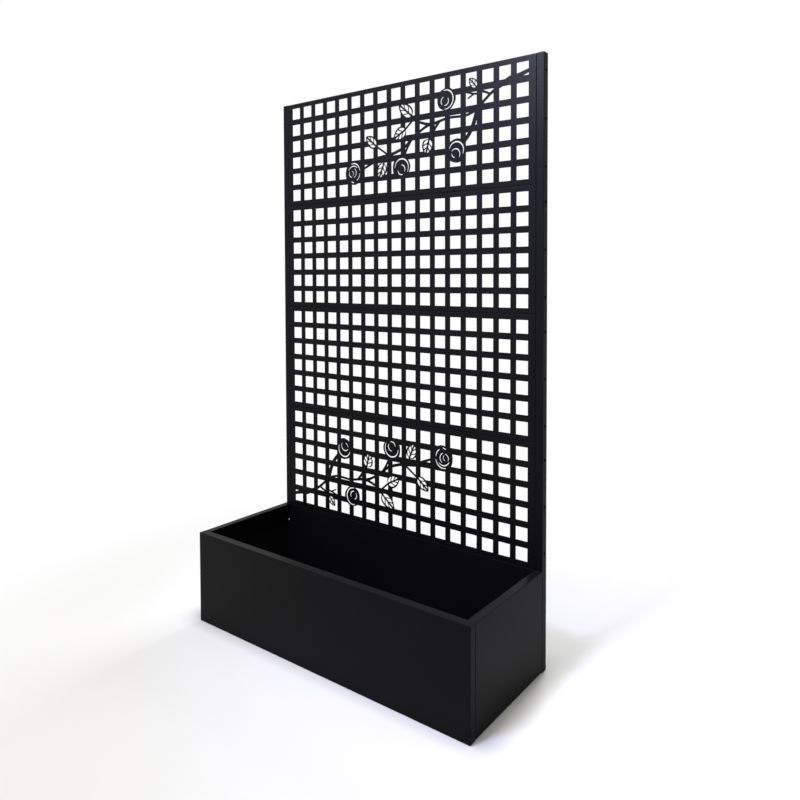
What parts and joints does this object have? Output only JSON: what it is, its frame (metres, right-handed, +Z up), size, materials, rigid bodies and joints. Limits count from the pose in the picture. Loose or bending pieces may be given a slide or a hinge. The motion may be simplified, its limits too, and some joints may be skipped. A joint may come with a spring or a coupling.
{
  "type": "planter with trellis",
  "caption": "Rectangular sheet-metal planter box whose rear posts carry a tall square-grid trellis with a cut-out rose vine, open at the top for soil or pots.",
  "frame": {"origin": "on the ground, in the middle of the footprint", "axes": "+Z up, -Y towards the front of the box, +Y towards the back of the trellis, +X to the right seen from the front"},
  "size_m": [1.1, 0.4, 1.8],
  "materials": {
    "powder_coat": "satin black powder coat with a fine orange-peel texture",
    "screw_steel": "zinc-plated steel screws",
    "plug_plastic": "moulded matt black plastic"
  },
  "bodies": {
    "root": {"planter_front": "powder_coat", "planter_back": "powder_coat", "planter_floor": "powder_coat", "trellis_panel_1": "powder_coat", "trellis_panel_2": "powder_coat", "trellis_panel_3": "powder_coat", "trellis_panel_4": "powder_coat", "planter_side_left": "powder_coat", "post_left": "powder_coat", "foot_plug_left": "plug_plastic", "top_plug_left": "plug_plastic", "trellis_1_screw_left_1": "screw_steel", "trellis_1_screw_left_2": "screw_steel", "trellis_1_screw_left_3": "screw_steel", "trellis_2_screw_left_1": "screw_steel", "trellis_2_screw_left_2": "screw_steel", "trellis_2_screw_left_3": "screw_steel", "trellis_3_screw_left_1": "screw_steel", "trellis_3_screw_left_2": "screw_steel", "trellis_3_screw_left_3": "screw_steel", "trellis_4_screw_left_1": "screw_steel", "trellis_4_screw_left_2": "screw_steel", "trellis_4_screw_left_3": "screw_steel", "back_screw_left_1": "screw_steel", "back_screw_left_2": "screw_steel", "front_corner_screw_left_1": "screw_steel", "front_corner_screw_left_2": "screw_steel", "rear_corner_screw_left_1": "screw_steel", "rear_corner_screw_left_2": "screw_steel", "planter_side_right": "powder_coat", "post_right": "powder_coat", "foot_plug_right": "plug_plastic", "top_plug_right": "plug_plastic", "trellis_1_screw_right_1": "screw_steel", "trellis_1_screw_right_2": "screw_steel", "trellis_1_screw_right_3": "screw_steel", "trellis_2_screw_right_1": "screw_steel", "trellis_2_screw_right_2": "screw_steel", "trellis_2_screw_right_3": "screw_steel", "trellis_3_screw_right_1": "screw_steel", "trellis_3_screw_right_2": "screw_steel", "trellis_3_screw_right_3": "screw_steel", "trellis_4_screw_right_1": "screw_steel", "trellis_4_screw_right_2": "screw_steel", "trellis_4_screw_right_3": "screw_steel", "back_screw_right_1": "screw_steel", "back_screw_right_2": "screw_steel", "front_corner_screw_right_1": "screw_steel", "front_corner_screw_right_2": "screw_steel", "rear_corner_screw_right_1": "screw_steel", "rear_corner_screw_right_2": "screw_steel"}
  },
  "joints": []
}
